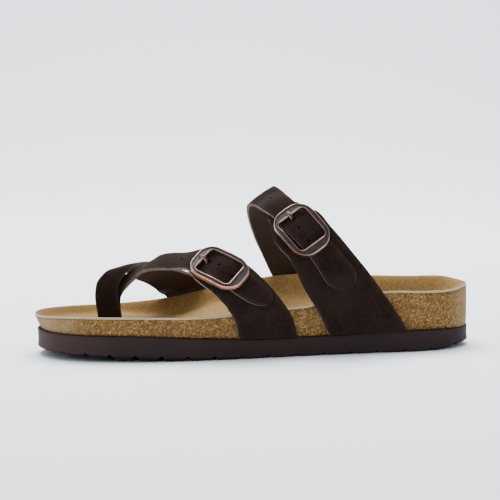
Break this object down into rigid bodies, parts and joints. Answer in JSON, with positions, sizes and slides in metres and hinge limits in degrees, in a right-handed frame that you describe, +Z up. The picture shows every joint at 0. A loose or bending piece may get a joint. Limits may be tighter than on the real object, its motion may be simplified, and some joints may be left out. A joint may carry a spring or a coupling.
{
  "type": "cork footbed sandal",
  "caption": "Left sandal with a cork footbed on a wavy-tread foam outsole, a suede toe post, and suede straps with buckles on the lateral side",
  "frame": {"origin": "on the flat tread, at half length on the midline", "axes": "+X from toe to heel, +Y to the medial side, +Z up from the floor"},
  "size_m": [0.256, 0.0982, 0.0965],
  "materials": {
    "foam": "matte dark brown foam",
    "cork": "matte pressed cork granules",
    "liner": "tan suede",
    "suede": "very dark brown suede",
    "copper": "aged copper plate, satin"
  },
  "bodies": {
    "root": {"outsole": "foam", "cork_footbed": "cork", "insole": "liner", "toe_straps": "suede", "front_quarter": "suede", "rear_strap": "suede", "rear_quarter": "suede", "front_buckle": "copper", "rear_buckle": "copper", "front_prong": "copper", "rear_prong": "copper"}
  },
  "joints": []
}
